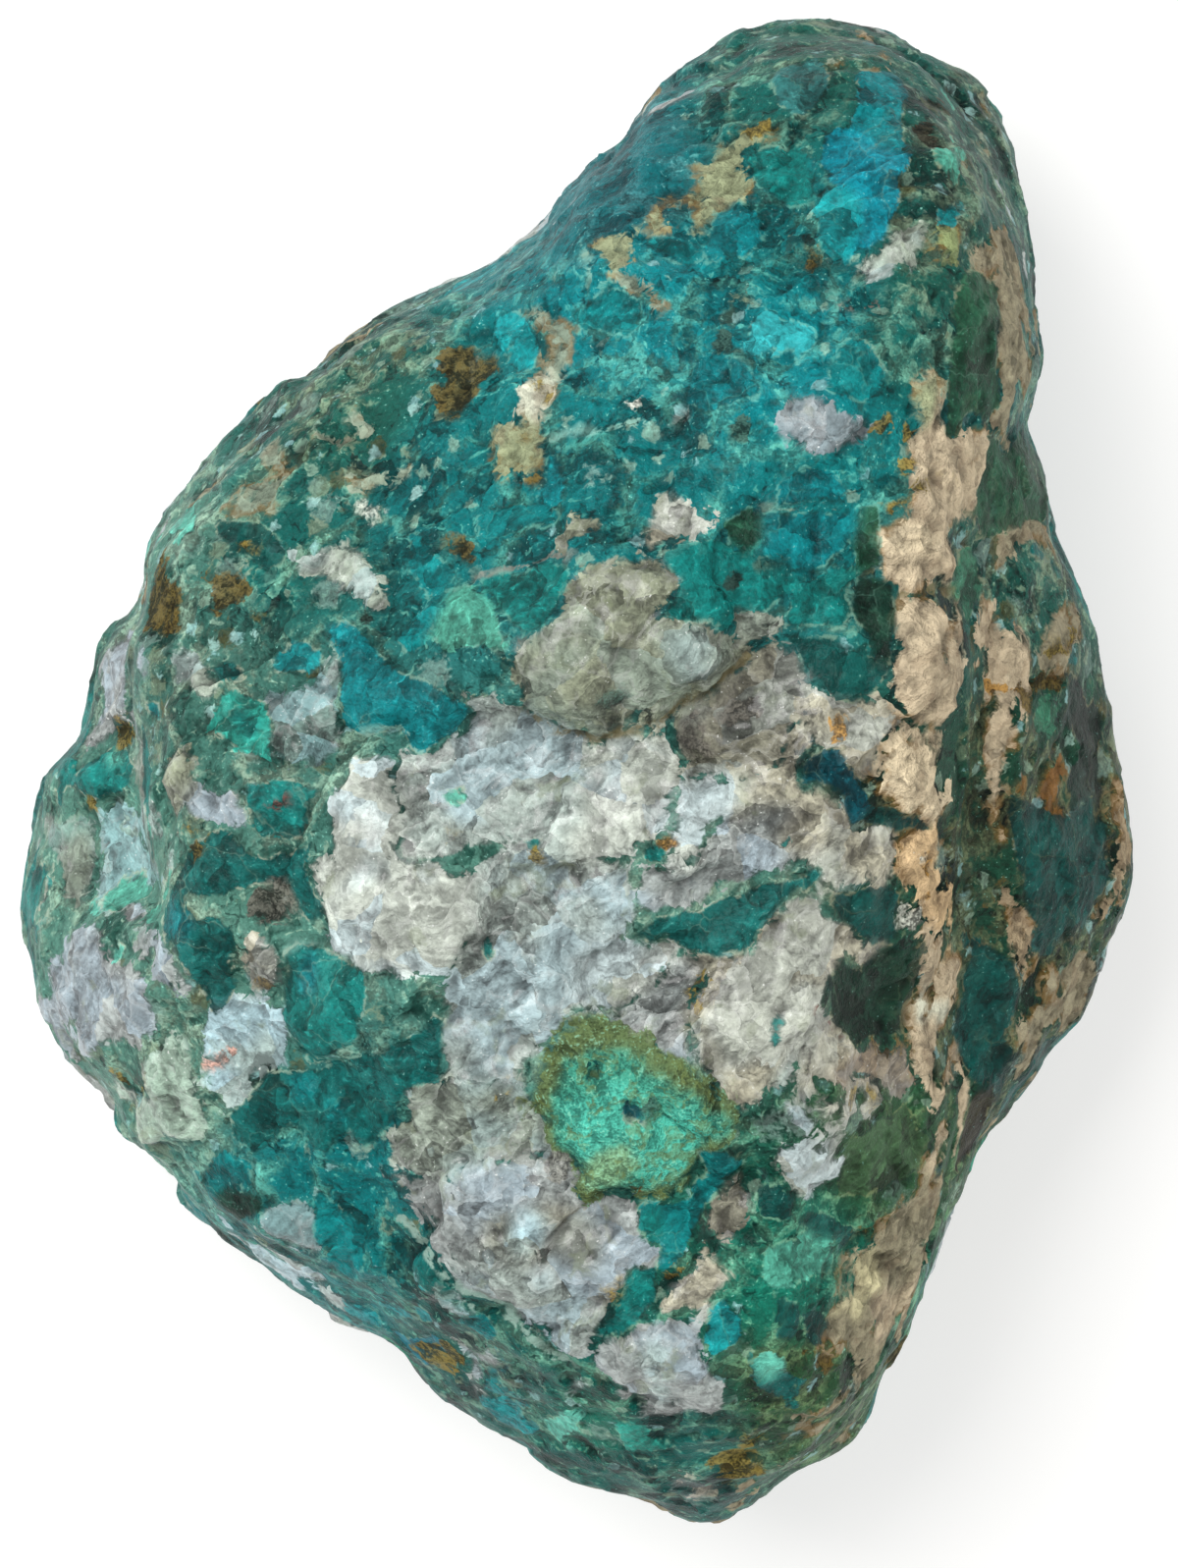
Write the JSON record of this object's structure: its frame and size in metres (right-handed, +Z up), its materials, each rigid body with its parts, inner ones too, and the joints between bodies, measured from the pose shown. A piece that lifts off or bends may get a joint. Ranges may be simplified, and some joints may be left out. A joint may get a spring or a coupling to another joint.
{
  "type": "chrysocolla specimen",
  "caption": "Hand-sized broken stone of blue-green chrysocolla and pale quartz, narrow at its top lobe, with a tan vein along its steep side and a worn flat to lie on",
  "frame": {"origin": "middle of the stone's box, on the surface that it lies on", "axes": "+Z up, +Y along the stone towards its narrow top lobe, +X towards the steep side with the tan vein"},
  "size_m": [0.057, 0.077, 0.0365],
  "materials": {
    "chrysocolla_and_quartz": "broken natural surface: waxy blue-green chrysocolla, glassy pale quartz, a matt tan vein and rust specks"
  },
  "bodies": {
    "root": {"chrysocolla_stone": "chrysocolla_and_quartz"}
  },
  "joints": []
}
